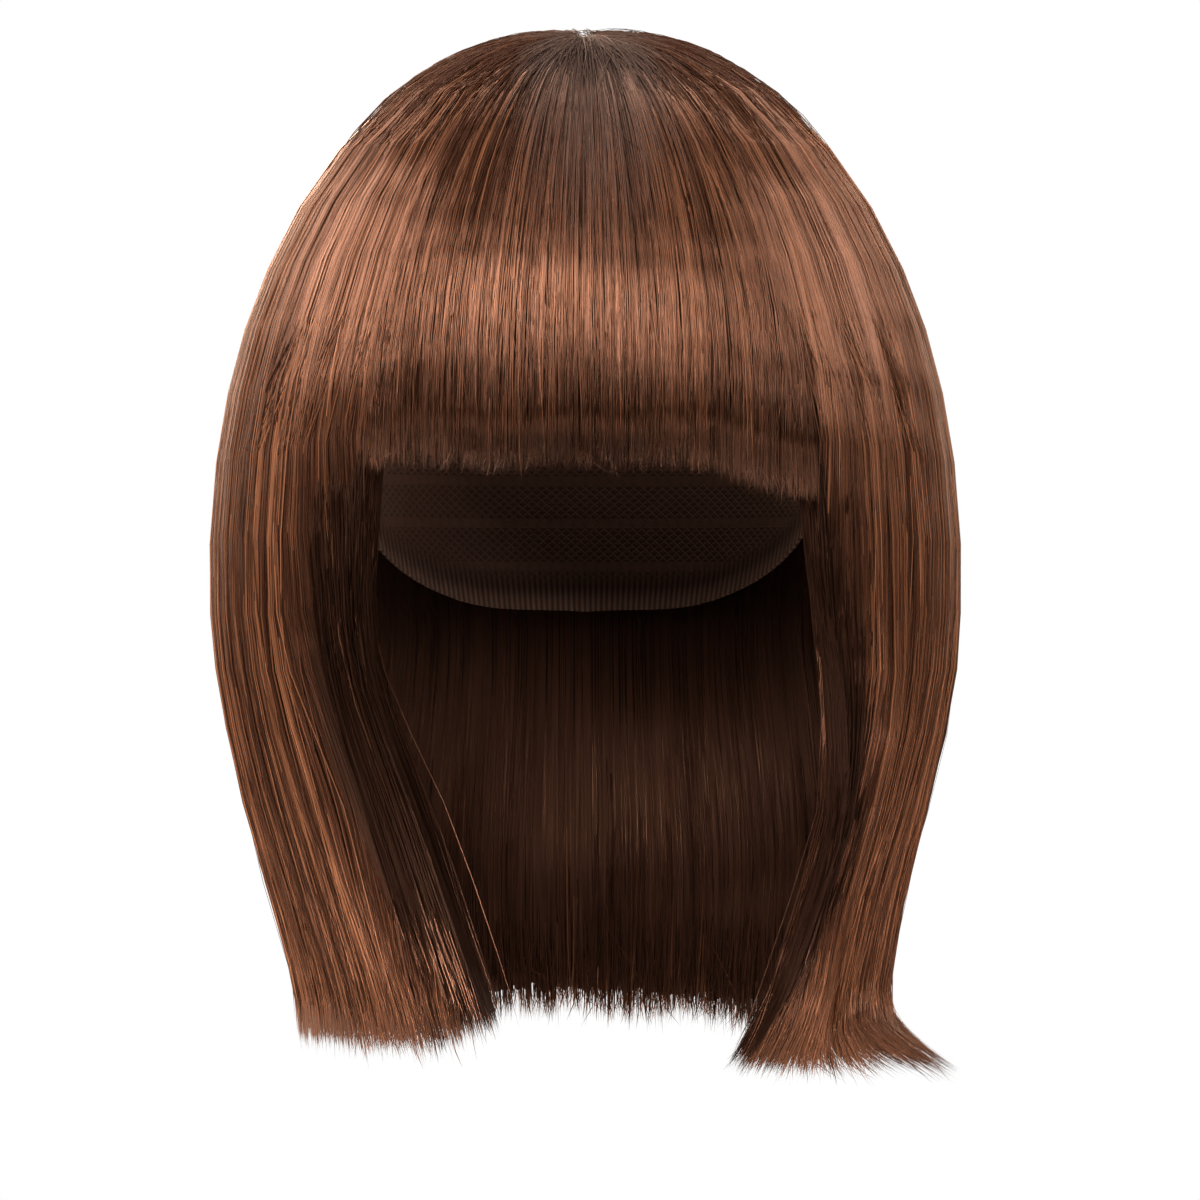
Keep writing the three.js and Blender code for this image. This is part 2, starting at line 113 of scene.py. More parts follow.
# What differs between the fringe, given first, and the long hair. In millimetres: how much locks, wisps
# and strands differ in length, how round a lock's end is, how much shorter some strands are, and how far
# tips stand out. In falls: how soon the hair leaves the cap, its strands gather and its body thins. As
# factors: how long the strands in the tips are, and how far under the rim those under the hair start.
# Then the rows of the body, and how the tint changes at the tips: darker at the fringe's, as painted
# shade, and lighter at the long hair's.
CUTS = {
    "lock_step": (0.8, 2.2),
    "wisp_step": (0.5, 0.9),
    "strand_step": (0.8, 1.5),
    "lock_round": (0.6, 1.6),
    "shorter": (3, 6),
    "stand_out": (0.25, 0.5),
    "leaves_cap_over": (0.22, 0.45),
    "gathers_over": (0.5, 1.4),
    "body_thins_over": (0.12, 0.2),
    "tip_strand": (0.6, 1.2),
    "under_start": (0.3, 1),
    "body_rows": (26, 44),
    "tip_tint": (-0.08, 0.08),
}


def mix(a, b, share):
    return a + (b - a) * share


def smooth(value):
    """A ramp from 0 to 1 that starts and ends level."""
    x = np.clip(value, 0, 1)
    return x * x * (3 - 2 * x)


def of_cut(key, short):
    """One of the values that differ between the fringe, which is short, and the long hair."""
    return CUTS[key][0 if short else 1]


def column(table, key, place, along="fall"):
    """A table's column as a smooth curve: a cubic through its rows, whose slope at each row is that
    between the rows on either side."""
    x = np.asarray(table[along], float)
    y = np.asarray(table[key], float)
    low = np.maximum(np.arange(len(x)) - 1, 0)
    high = np.minimum(np.arange(len(x)) + 1, len(x) - 1)
    slope = (y[high] - y[low]) / (x[high] - x[low])
    place = np.clip(np.asarray(place, float), x[0], x[-1])
    i = np.clip(np.searchsorted(x, place) - 1, 0, len(x) - 2)
    width = x[i + 1] - x[i]
    t = (place - x[i]) / width
    bend = slope[i] * width * t * (1 - t) ** 2 - slope[i + 1] * width * t * t * (1 - t)
    return mix(y[i], y[i + 1], smooth(t)) + bend


def towards(heading):
    """The level unit vector at a heading."""
    a = np.radians(heading)
    return np.stack([np.sin(a), -np.cos(a), np.zeros_like(a)], -1)


def across(heading):
    """The level unit vector square to a heading."""
    a = np.radians(heading)
    return np.stack([np.cos(a), np.sin(a), np.zeros_like(a)], -1)


def nearness(reach, x, y):
    """How near a place in plan is to an outline, where 1 is on it: the superellipse norm with a reach of
    its own to each side."""
    side = np.abs(x) / np.where(x > 0, reach["left"], reach["right"])
    end = np.abs(y) / np.where(y > 0, reach["back"], reach["front"])
    return (side**PLAN_SQUARENESS + end**PLAN_SQUARENESS) ** (1 / PLAN_SQUARENESS)


def by_halving(low, high, holds, halvings):
    """How far from the low end of a range a test holds, by halving the range."""
    for _ in range(halvings):
        middle = (low + high) / 2
        held = holds(middle)
        low = np.where(held, middle, low)
        high = np.where(held, high, middle)
    return low


def distance_to_outline(reach, heading):
    """The distance in plan from the whorl to an outline, where nearness is 1."""
    x, y = np.moveaxis(towards(heading)[..., :2], -1, 0)
    whorl = np.zeros_like(x)
    return by_halving(
        whorl, whorl + 500 * MM, lambda far: nearness(reach, x * far, y * far - WHORL_FORWARD) < 1, 30
    )


def shell(reach, levels, table, heading, fall):
    """A dome and the hanging part under it. In the dome the distance from the whorl is the outline's
    times the sine of the fall's share of a quarter turn, and the height over a place is a superellipse's
    profile. Below it, level outlines follow the table."""
    top, widest, tips = levels
    heading, fall = np.broadcast_arrays(np.asarray(heading, float), np.asarray(fall, float))
    down = np.clip(fall - 1, 0, 1)
    shares = {side: reach[side] * column(table, side, down) for side in reach}
    distance = distance_to_outline(shares, heading) * np.sin(np.clip(fall, 0, 1) * np.pi / 2)
    place = towards(heading) * distance[..., None]
    place[..., 1] -= WHORL_FORWARD
    x, y = place[..., 0], place[..., 1]
    near = np.minimum(1, nearness(reach, x, y))
    turn = np.arctan2(np.abs(x) / reach["left"], np.abs(y) / reach["back"])
    ends = mix(BACK_FULLNESS, FRONT_FULLNESS, smooth(0.5 - y / reach["front"] / 2))
    fullness = mix(ends, SIDE_FULLNESS, np.sin(turn) ** 2)
    dome = mix(widest, top, (1 - near**fullness) ** (1 / fullness))
    place[..., 2] = np.where(fall < 1, dome, mix(widest, tips, fall - 1))
    return place


def outside(heading, fall):
    """The outside of the hair in the grooves between its locks."""
    return shell(REACH, (TOP, WIDEST, TIPS), HANGING, heading, fall)


def head(thickness, heading, fall):
    """The head, or at a thickness the cap round it."""
    reach = {side: HEAD_REACH[side] + thickness for side in HEAD_REACH}
    return shell(reach, (thickness, HEAD_WIDEST, TIPS), NAPE, heading, fall)


def outwards(heading, fall):
    """The way out of the hair at a place, square to the way down and in the heading's upright plane."""
    step = 0.005
    down = outside(heading, fall + step) - outside(heading, np.maximum(fall - step, 0))
    way = np.cross(down, across(heading))
    return way / np.linalg.norm(way, axis=-1, keepdims=True)


def from_face(heading):
    """A heading from -180 to 180."""
    return (heading + 180) % 360 - 180


def rim_fall(heading):
    return column(CAP_RIM, "fall", np.abs(from_face(heading)), "heading")


def edge_heading(side, fall):
    """The heading of a front edge: where the outline at that fall is as wide as the table says."""
    down = np.clip(np.asarray(fall, float) - 1, 0, 1)
    reach = REACH["left"] * column(HANGING, side, down)
    widest = REACH["left"] * column(HANGING, side.split("_")[0], down)
    front = REACH["front"] * column(HANGING, "front", down)
    back = front * (1 - (reach / widest) ** PLAN_SQUARENESS) ** (1 / PLAN_SQUARENESS)
    return np.degrees(np.arctan2(reach, back - WHORL_FORWARD))


def bound(edge, fall):
    """The heading of a section's bound at a fall: a number, or a front edge that moves with the fall."""
    if edge == "left_edge":
        return edge_heading("left_edge", fall)
    if edge == "right_edge":
        return -edge_heading("right_edge", fall)
    if edge == "right_edge_again":
        return 360 - edge_heading("right_edge", fall)
    return np.full(np.shape(fall), float(edge))


def behind_edge(heading, fall):
    """How far behind the front edge of the hair a heading lies, in degrees."""
    turned = from_face(heading)
    edge = np.where(turned > 0, edge_heading("left_edge", fall), edge_heading("right_edge", fall))
    return np.abs(turned) - edge


def turn_out(short, heading, fall):
    """How far the hair is turned outwards at a place or, for the fringe, back to the brow. The ends of
    the fringe turn back less, so that they meet the locks beside them."""
    if short:
        between_ends = mix(0.3, 1, smooth(-behind_edge(heading, fall) / 13))
        return -FRINGE_TUCK * between_ends * smooth((fall - FRINGE_FREE) / (1 - FRINGE_FREE))
    start, full, fade, end = FLICK_HEADINGS
    turned = from_face(heading)
    over_shoulder = smooth((turned - start) / (full - start)) * smooth((end - turned) / (end - fade))
    return FLICK_REACH * over_shoulder * np.clip((fall - FLICK_FROM) / (2 - FLICK_FROM), 0, 1.04) ** 2


def layer(short, heading, fall):
    """The thickness of the hair that hangs free."""
    if short:
        return np.full(np.shape(fall), FRINGE_LAYER)
    full = mix(HAIR_LAYER, TIP_LAYER, smooth(fall - 1))
    return mix(FRONT_EDGE_LAYER, full, smooth(behind_edge(heading, fall) / 30))


def inside(short, heading, fall):
    """The inside of the hair: on the cap down to its rim, then a layer's thickness inside the outside."""
    on_cap = head(CAP_AND_GAP, heading, fall)
    inwards = turn_out(short, heading, fall) - layer(short, heading, fall)
    free = outside(heading, fall) + towards(heading) * inwards[..., None]
    left_cap = smooth((fall - rim_fall(heading)) / of_cut("leaves_cap_over", short))
    return mix(on_cap, free, left_cap[..., None])


def cut_height(short, heading):
    """The height at which the hair is cut at a heading."""
    if short:
        share = heading / edge_heading("left_edge", 1.0)
        return FRINGE_TIPS + FRINGE_DROOP * (1 - smooth((share - 0.35) / 0.7) ** 1.3) + 1.2 * MM
    to_right = (1 - towards(heading)[..., 0]) / 2
    at_edge = smooth(1 - behind_edge(heading, 2.0) / 22)
    return TIPS + 5 * MM + (RIGHT_TIP_RISE + FRONT_TIP_RISE * at_edge) * to_right


def fall_at_height(heading, height):
    """The fall at which the outside of the hair is at a height."""
    whorl = np.zeros(np.broadcast(heading, height).shape)
    return by_halving(whorl, whorl + 2.1, lambda fall: outside(heading, fall)[..., 2] > height, 22)


# The sections of hair round the head, by the headings that bound them, and how many strands each has:
# over its outside, filling its tips, down its inside, down the edge beside the face, and in the shade
# between that and the edge of its outer layer
SECTIONS = [
    {"node": "fringe", "from": "right_edge", "to": "left_edge", "locks": 8, "short": True,
     "over": 2100, "tips": 1200, "under": 300, "edge": 0},
    {"node": "left_front_lock", "from": "left_edge", "to": 80, "locks": 3, "short": False,
     "over": 1050, "tips": 900, "under": 230, "edge": 300, "shaded": 460},
    {"node": "left_side_hair", "from": 80, "to": 128, "locks": 4, "short": False,
     "over": 1150, "tips": 800, "under": 260, "edge": 0},
    {"node": "back_hair", "from": 128, "to": 232, "locks": 10, "short": False,
     "over": 1550, "tips": 2000, "under": 700, "edge": 0},
    {"node": "right_side_hair", "from": 232, "to": 280, "locks": 4, "short": False,
     "over": 1150, "tips": 800, "under": 260, "edge": 0},
    {"node": "right_front_lock", "from": 280, "to": "right_edge_again", "locks": 3, "short": False,
     "over": 1050, "tips": 900, "under": 230, "edge": 300, "shaded": 460},
]

# Locks differ, and this pattern repeats round the head: width is relative, crest a share of
# LOCK_RELIEF, and tip a share of the step between one lock's tip and the next
LOCK_PATTERN = {
    "width": np.array([1.0, 0.75, 1.2, 0.9, 1.1]),
    "crest": np.array([1.0, 0.7, 0.9, 0.6, 1.0]),
    "tip": np.array([0.4, 0.0, 1.0, 0.2, 0.7]),
}
WISPS = 9
STRAND_WIDTH = 0.3 * MM
STRAND_RADIUS = STRAND_WIDTH / np.sqrt(3)
BED_DEPTH = 1.9 * MM
TIP_DEPTH = 1.1 * MM
OUTER_TIPS = 0.55
TIP_SEGMENTS = 4
UNDER_SEGMENTS = 8
CROWN_SEGMENTS = 8
CROWN_STRANDS = 1000
CROWN_RING = 0.2
HEM = 0.25 * MM

# Behind the edge beside the face the hair lies this far in, and its outer strands sink this much more
EDGE_TURN = 3.5 * MM
SINK = 2.6 * MM

# Metres down the hair for each fall, for the texture of what isn't single strands
FALL_LENGTH = 0.15

# The kinds of strand: how far each gathers to the middle of its wisp, and its tint. The lower tints of
#  the strands inside the hair, in the inner tips, under it, down the edge and in the shade behind it, are
#  painted shade. Beside the face, they lie in the lock at the edge, at these shares of its width. In the
#  tips and down the edge they lie between two shares of the hair's thickness.
STRAND_KINDS = {
    "over": {"gather": 0.5, "tint": 0.48},
    "tips": {"gather": 0.2, "tint": 0.46, "between": (0.06, 0.55)},
    "inner tips": {"gather": 0, "tint": 0.3, "between": (0.4, 0.96)},
    "under": {"gather": 0.1, "tint": 0.15},
    "edge": {"gather": 0, "tint": 0.15, "between": (0.06, 0.96), "beside_face": (-0.035, 0.004)},
    "shaded": {"gather": 0.3, "tint": 0.32, "beside_face": (-0.02, 1.35)},
}

# How far strands stray from their wisps, all the way down and at their tips, in widths of a lock, how
# much their tints differ, and which share of the strands does each
STRAYS = {"value": [0.04, 0.13, 0.38], "share": [0.7, 0.23, 0.07]}
TIP_STRAYS = {"value": [0.05, 0.22], "share": [0.85, 0.15]}
TINT_CHANGES = {"value": [0, 0.32, -0.3], "share": [0.8, 0.1, 0.1]}

# The hair's colours from its dark to its light strands, and its roots' own. The hair beneath the strands
#  has this share of them, as painted shade.
HAIR_COLOURS = {
    "Dark": (0.008, 0.003, 0.0018),
    "Middle": (0.028, 0.0094, 0.0045),
    "Light": (0.19, 0.074, 0.034),
    "Roots": (0.05, 0.032, 0.0265),
}
PAINTED_SHADE_SHARE = 0.45
SHEEN_TINT = (1.0, 0.45, 0.27, 1)
NET_COLOURS = ((0.02, 0.0105, 0.007, 1), (0.07, 0.036, 0.024, 1))

# The lights: where each is, what it faces, its size in metres, its power, its colour and, for the narrow
# ones at the tips of the front locks, its spread in degrees
WHITE = (1, 0.97, 0.94)
WARM = (1, 0.92, 0.85)
AMBER = (1, 0.78, 0.6)
LIGHTS = {
    "over the brow": ((-0.3, -1.58, 0.64), (0, 0, -0.1), (2.3, 0.86), 70, WHITE),
    "overhead": ((0, 0.4, 1.5), (0, 0, 0), (2.8, 0.7), 25, (1, 0.86, 0.72)),
    "behind the crown": ((0, 1.6, 0.5), (0, 0, -0.05), (1.8, 0.5), 14, (1, 0.78, 0.58)),
    "left above": ((1.25, -0.15, 0.75), (0, 0, -0.08), (0.7, 1.0), 10.5, WARM),
    "right above": ((-1.25, -0.15, 0.75), (0, 0, -0.08), (0.7, 1.0), 19, WARM),
    "left tips": ((0.26, -0.3, -0.5), (0.07, -0.055, -0.228), (0.15, 0.1), 0.065, WHITE, 22),
    "right tips": ((-0.24, -0.3, -0.42), (-0.055, -0.06, -0.25), (0.15, 0.08), 0.08, WHITE, 34),
    "left rim": ((1.1, 1.1, 0.45), (0, 0, -0.12), (0.55, 1.2), 32, AMBER),
    "right rim": ((-1.1, 1.1, 0.45), (0, 0, -0.12), (0.55, 1.2), 60, AMBER),
}
CAMERA_LENS = 162
CAMERA_PLACE = (0.004, -1.5, -0.143)

# The floor's radius, and the distances between which it fades out
FLOOR_REACH = 1.2
FLOOR_FADE = (0.35, 0.95)

# The falls at which strands over the outside bend. They are the same for all, so that no strand cuts
# through its neighbours between two bends.
LONG_ROWS = [0.1, 0.21, 0.33, 0.45, 0.55, 0.64, 0.72, 0.8, 0.88, 0.97, 1.08, 1.19, 1.32, 1.48, 1.66, 1.84,
             1.92, 2.0]
FRINGE_ROWS = [0.1, 0.16, 0.22, 0.28, 0.34, 0.4, 0.455, 0.51, 0.56, 0.61, 0.66, 0.71, 0.76, 0.81]


def lock_edges(section):
    """Where a section's locks meet, as shares of its width, and which of the pattern each lock is."""
    kinds = (section["first"] + np.arange(section["locks"])) % len(LOCK_PATTERN["width"])
    reached = np.cumsum(LOCK_PATTERN["width"][kinds])
    return np.concatenate([[0], reached / reached[-1]]), kinds


def crest_at(section, share):
    """The share of the relief at a place across a section: half a sine wave over each lock."""
    edges, kinds = lock_edges(section)
    lock = np.clip(np.searchsorted(edges, share) - 1, 0, section["locks"] - 1)
    part = np.clip((share - edges[lock]) / (edges[lock + 1] - edges[lock]), 0, 1)
    return LOCK_PATTERN["crest"][kinds[lock]] * np.sin(part * np.pi)


def section_heading(section, share, fall):
    return mix(bound(section["from"], fall), bound(section["to"], fall), share)


def in_section(section, share, fall, depth, depth_share):
    """A place in a section: on the line from its outside, with the locks' relief, to its inside, at a
    depth in metres plus a share of the whole thickness."""
    heading = section_heading(section, share, fall)
    relief = LOCK_RELIEF * crest_at(section, share) * smooth(fall / 0.4)
    out = outside(heading, fall) + outwards(heading, fall) * relief[..., None]
    out = out + towards(heading) * turn_out(section["short"], heading, fall)[..., None]
    through = inside(section["short"], heading, fall) - out
    thickness = np.linalg.norm(through, axis=-1)
    return out + through * (depth / thickness + depth_share)[..., None]


def end_fall(section, share, lower):
    """The fall at which hair at this share of a section ends, when it is cut lower than the plain cut
    by this much."""
    heading = section_heading(section, share, np.full(np.shape(share), 1.0 if section["short"] else 2.0))
    return fall_at_height(heading, cut_height(section["short"], heading) - lower)


def thin_part(section, share):
    """Where the fringe is thinner at its ends: towards the wearer's right."""
    return np.exp(-(((share - 0.13) / 0.08) ** 2)) if section["short"] else 0 * share


def painted_fringe_shade(section, share, fall):
    """Where the fringe's colour is darkened as painted shade: low down, and most where the front lock
    shades its end.
    """
    if not section["short"]:
        return 0 * fall
    low = smooth((fall - 0.6) / 0.15)
    return low * (0.25 + 0.75 * smooth((share - 0.75) / 0.2))


def beside_face(section, heading, fall):
    """How much the hair lies further in, and is darkened as painted shade, below the fringe, between the
    edge of its outer layer and its edge beside the face."""
    if section["short"]:
        return 0 * fall
    down = np.clip(fall - 1, 0, 1)
    x = outside(heading, fall)[..., 0]
    right = column(HANGING, "right_layer", down) + x / REACH["right"]
    left = column(HANGING, "left_layer", down) - x / REACH["left"]
    in_front = np.abs(from_face(heading)) < 90
    near = smooth(np.where(x < 0, right, left) / 0.13 + 0.4)
    return near * in_front * smooth((fall - 0.82) / 0.22)


def root_shade(heading, fall):
    """How dark the roots are, from 0 to 1: over the brow they stay dark down to half of the dome, and
    elsewhere only round the whorl. Below 0, it is how dull the hair is that lies level behind the whorl
    and has no dark root."""
    reach = 0.08 + 0.64 * np.exp(-(((from_face(heading) - 4) / 38) ** 2))
    dark = 1 - smooth((fall / reach - 0.45) / 0.55)
    level = (1 - smooth(fall / 0.6)) * smooth((np.abs(from_face(heading)) - 100) / 35)
    return np.where(dark > 0.02, dark, -level)


def tubes(paths, side, radius):
    """Closed three-sided tubes along paths. Each ring stands square to its path, with one corner to the
    outside, and each tube starts and ends in a point."""
    count, points = radius.shape
    along = np.gradient(paths, axis=1)
    along /= np.linalg.norm(along, axis=-1, keepdims=True)
    out = np.cross(along, side)
    out /= np.linalg.norm(out, axis=-1, keepdims=True)
    side = np.cross(out, along)
    turn = np.radians([90, 210, 330])
    ring = out[:, :, None] * np.sin(turn)[:, None] + side[:, :, None] * np.cos(turn)[:, None]
    rings = (paths[:, :, None] + ring * radius[:, :, None, None])[:, 1:-1]
    rows = points - 2
    corners = np.concatenate([rings.reshape(count, rows * 3, 3), paths[:, :1], paths[:, -1:]], axis=1)

    k = np.arange(3)
    after = (k + 1) % 3
    row = np.arange(rows - 1)[:, None] * 3
    lower = np.stack([row + k, row + k + 3, row + after + 3], -1).reshape(-1, 3)
    upper = np.stack([row + k, row + after + 3, row + after], -1).reshape(-1, 3)
    start = np.stack([np.full(3, rows * 3), k, after], -1)
    last = (rows - 1) * 3
    end = np.stack([np.full(3, rows * 3 + 1), last + after, last + k], -1)
    one = np.concatenate([lower, upper, start, end])
    faces = one[None] + (np.arange(count) * (rows * 3 + 2))[:, None, None]
    return corners.reshape(-1, 3), faces.reshape(-1, 3)


def on_tubes(values):
    """Values at the places of paths, carried to the corners of their tubes."""
    rings = np.repeat(values[:, 1:-1], 3, axis=1)
    return np.concatenate([rings, values[:, :1], values[:, -1:]], axis=1).reshape(-1, *values.shape[2:])


def narrowing(t):
    """A strand's width over the last fifth of its length, where it narrows to half."""
    return mix(1, 0.5, smooth((t - 0.8) / 0.2))


def length_along(paths):
    """The length of each path from its start to each of its places."""
    steps = np.diff(paths, axis=-2, prepend=paths[..., :1, :])
    return np.cumsum(np.linalg.norm(steps, axis=-1), axis=-1)


def some_of(choices, count):
    """Values picked at random from those of a table, each as often as its share says."""
    return rng.choice(choices["value"], count, p=choices["share"])


def strand_places(section, kind, count):
    """The lock that each strand of a kind is in, its place across the lock, and its wisp."""
    edges, _ = lock_edges(section)
    lock = rng.choice(section["locks"], count, p=np.diff(edges))
    part = rng.uniform(-0.03, 1.03, count)
    if "beside_face" in STRAND_KINDS[kind]:
        at_left = section["from"] == "left_edge"
        lock = np.full(count, 0 if at_left else section["locks"] - 1)
        part = rng.uniform(*STRAND_KINDS[kind]["beside_face"], count)
        part = part if at_left else 1 - part
    wisp = np.argmin(np.abs(part[:, None] - section["wisp_middle"][lock]), axis=1)
    return lock, part, wisp


def strand_ends(section, lock, part, wisp):
    """Where strands are across their section, as a share of it, and the falls at which they end. Locks
    and wisps differ in length, locks are rounded, and some strands are shorter than the others."""
    edges, kinds = lock_edges(section)
    short = section["short"]
    count = len(lock)
    share = np.clip(edges[lock] + part * np.diff(edges)[lock], 0, 1)
    step = of_cut("lock_step", short) * LOCK_PATTERN["tip"][kinds[lock]]
    lower = (step + of_cut("lock_round", short) * np.sin(np.clip(part, 0, 1) * np.pi)) * MM
    lower += section["wisp_lower"][lock, wisp]
    lower += rng.normal(0, of_cut("strand_step", short), count) * MM
    shorter = rng.random(count) < 0.4
    lower -= np.where(shorter, rng.exponential(of_cut("shorter", short), count), 0) * MM
    thinned = rng.random(count) < 0.6
    lower -= np.where(thinned, rng.uniform(1, 7, count), 0) * thin_part(section, share) * MM
    return share, end_fall(section, share, lower)


def strand_falls(section, kind, rows, share, end):
    """The falls at which strands of a kind bend. Over the outside the rows are falls, and the lowest
    ones are moved to suit each strand's end. The rows of the other kinds are shares of the strand: in
    the tips it starts inside the mass, under the hair at the cap's rim, and beside the face at the level
    of the brow or lower."""
    short = section["short"]
    count = len(end)
    if kind == "over":
        hold = rows[-1] * 0.6
        low_part = (rows - hold) * (end[:, None] - hold) / (rows[-1] - hold) + hold
        fall = np.where(rows > hold, low_part, rows)
        fall[:, 0] += rng.uniform(-0.3, 0.5, count) * (rows[1] - rows[0])
        return fall
    if kind in ("tips", "inner tips"):
        start = end - rng.uniform(0.1, 0.2, count) * of_cut("tip_strand", short)
    elif kind == "under":
        rim = rim_fall(section_heading(section, share, np.full(count, 1.0)))
        start = rim + rng.uniform(0.02, 0.3, count) * of_cut("under_start", short)
        start = np.minimum(start, end - 0.1)
    else:
        start = 0.8 + 0.5 * rng.random(count) ** 2
    return mix(start[:, None], end[:, None], rows)


def over_the_fringe(section, part, fall):
    """Where a front lock's strands are when a fifth of them are laid over the end of the fringe on their
    way past it, and how far each of them is laid over it."""
    count = len(fall)
    laid = np.where(rng.random(count) < 0.2, rng.uniform(0.2, 1, count), 0)[:, None]
    laid = laid * smooth((fall - 0.2) / 0.3) * smooth((0.92 - fall) / 0.2)
    reach = (-0.5, 0.05) if section["from"] == "left_edge" else (0.95, 1.5)
    return mix(part, rng.uniform(*reach, count)[:, None], laid), laid


def strands_of_kind(section, kind, rows, count):
    """Strands of one kind in a section, with as many bends as there are rows. The kinds are over the
    outside, in the outer and in the inner half of the tips, under the hair, down the edge beside the
    face, and shaded, in the hair that lies further in behind that edge. A strand keeps its place across
    its lock, is drawn towards the middle of its wisp on the way down, and sways a little to either side.
    Over the outside it comes up from beneath the others near its start, and a few strands stand off."""
    look = STRAND_KINDS[kind]
    short = section["short"]
    edges, _ = lock_edges(section)
    lock, part, wisp = strand_places(section, kind, count)
    middle, sunk, turns, swing = (
        section[f"wisp_{key}"][lock, wisp][:, None] for key in ("middle", "depth", "turns", "swing")
    )
    plain, end = strand_ends(section, lock, part, wisp)
    fall = strand_falls(section, kind, rows, plain, end)
    since_start = fall - fall[:, :1]
    t = (rows - rows[0]) / (rows[-1] - rows[0])
    at_tip = smooth((t - 0.72) / 0.28)

    # Where it is across the section on the way down
    drawn = smooth((fall - 0.3) / of_cut("gathers_over", short))
    freed = 1 - 0.6 * smooth((t - 0.8) / 0.2)
    gather = look["gather"] * drawn * freed * rng.uniform(0.2, 1.2, count)[:, None]
    part_now = mix(part[:, None], middle, gather)
    part_now = part_now + swing * np.sin(fall * turns + 10 * middle) * drawn
    stray = some_of(STRAYS, count) * rng.normal(0, 1, count)
    stray = stray * (0.2 if kind == "edge" else 1)
    phase = rng.uniform(0, 2 * np.pi, count)[:, None]
    bend = np.sin(fall * rng.uniform(1.0, 3.5, count)[:, None] + phase)
    part_now = part_now + stray[:, None] * (0.5 * bend + drawn - 0.5)
    tip_stray = 0.01 if kind == "edge" else some_of(TIP_STRAYS, count)
    part_now = part_now + (rng.normal(0, 1, count) * tip_stray)[:, None] * at_tip
    over_fringe = 0
    if kind == "over" and section["edge"]:
        part_now, over_fringe = over_the_fringe(section, part_now, fall)
    share = edges[lock][:, None] + part_now * np.diff(edges)[lock][:, None]

    # How deep it lies
    thin = 1
    depth_share = np.zeros_like(fall)
    if kind == "over":
        flying = rng.random(count) < 0.04
        thin = np.where(flying, 0.5, 1)[:, None]
        lift = np.where(flying, np.minimum(rng.exponential(0.7, count), 1.5), 0) * MM
        place, reach = rng.uniform(0.2, 1.0, (2, count, 1)) * [[[1]], [[0.2]]]
        rise = 2.4 * MM * (1 - smooth(since_start / 0.16))
        depth = (rng.exponential(0.45, count) * MM)[:, None] + sunk * 0.8 + rise
        depth = depth - lift[:, None] * np.exp(-(((t - place) / reach) ** 2)) - 0.9 * MM * over_fringe
        out = np.abs(rng.normal(0, of_cut("stand_out", short), count))[:, None] * MM
        ripple = rng.normal(0, 0.16, count)[:, None]
        ripple = ripple * np.sin(fall * rng.uniform(10, 25, (count, 1)) + phase)
        shared = swing * 3.5 * np.sin(fall * 14 + 40 * middle)
        depth = depth - out * at_tip + (ripple + shared) * MM * drawn
    elif kind == "shaded":
        rise = 1.5 * MM * (1 - smooth(since_start / 0.12))
        depth = BED_DEPTH + rise - rng.exponential(0.4, (count, 1)) * MM
    elif kind == "under":
        depth = -rng.exponential(0.5, count)[:, None] * MM + 0 * fall
        depth_share = 1 - 0.25 * (1 - smooth(since_start / 0.12))
    else:
        depth = (TIP_DEPTH if kind == "tips" else 0) + 0 * fall
        depth_share = rng.uniform(*look["between"], count)[:, None] + 0 * fall
    heading = section_heading(section, share, fall)
    turned_in_and_shaded = beside_face(section, heading, fall)
    if kind in ("over", "shaded"):
        depth = depth + EDGE_TURN * turned_in_and_shaded
    if kind == "over":
        depth = depth + SINK * turned_in_and_shaded**2
    paths = in_section(section, share, fall, depth, depth_share)

    # How wide it is, and its colour
    radius = STRAND_RADIUS * rng.uniform(0.7, 1.15, count)[:, None] * thin
    radius = radius * mix(0.55, 1, smooth((fall - 0.05) / 0.35)) * narrowing(t)
    points, faces = tubes(paths, across(heading), radius)
    tint = look["tint"] + section["wisp_tint"][lock, wisp]
    tint = tint + rng.normal(0, 0.13, count) + some_of(TINT_CHANGES, count)
    # Painted shade: beside the face the tint is lowered
    tint = tint[:, None] + of_cut("tip_tint", short) * at_tip - 0.4 * turned_in_and_shaded
    # Painted shade: the fringe is darkened low down and at the end that the front lock shades
    tint = np.clip(tint - 0.3 * painted_fringe_shade(section, share, fall), 0, 1)
    own = rng.uniform(0, 10, count)[:, None] + 0 * fall
    hair = np.stack([own, length_along(paths), tint], -1)
    root = root_shade(heading, fall + rng.normal(0, 0.07, count)[:, None])
    return points, faces, on_tubes(hair), on_tubes(root)


def lay_wisps(section):
    """The wisps that a section's strands gather into, and how each differs."""
    size = (section["locks"], WISPS)
    section["wisp_middle"] = np.sort(rng.random(size), axis=1)
    section["wisp_depth"] = rng.uniform(0, 1.4, size) * MM
    section["wisp_turns"] = rng.uniform(3, 8, size)
    section["wisp_swing"] = rng.uniform(0, 0.05, size)
    section["wisp_tint"] = rng.normal(0, 0.08, size)
    section["wisp_lower"] = rng.normal(0, of_cut("wisp_step", section["short"]), size) * MM


def outer_strands(section):
    """The strands over a section's outside and in the outer half of its tips. Half of those over the
    outside start at the first two rows, and the others at rows further down."""
    rows = np.array(FRINGE_ROWS if section["short"] else LONG_ROWS)
    starts = 8 if section["short"] else 9
    share = np.concatenate([[0.25, 0.25], np.full(starts - 2, 0.5 / (starts - 2))])
    parts = [
        strands_of_kind(section, "over", rows[first:], int(section["over"] * share[first]))
        for first in range(starts)
    ]
    even = np.linspace(0, 1, TIP_SEGMENTS + 1)
    parts.append(strands_of_kind(section, "tips", even, int(section["tips"] * OUTER_TIPS)))
    return join(parts)


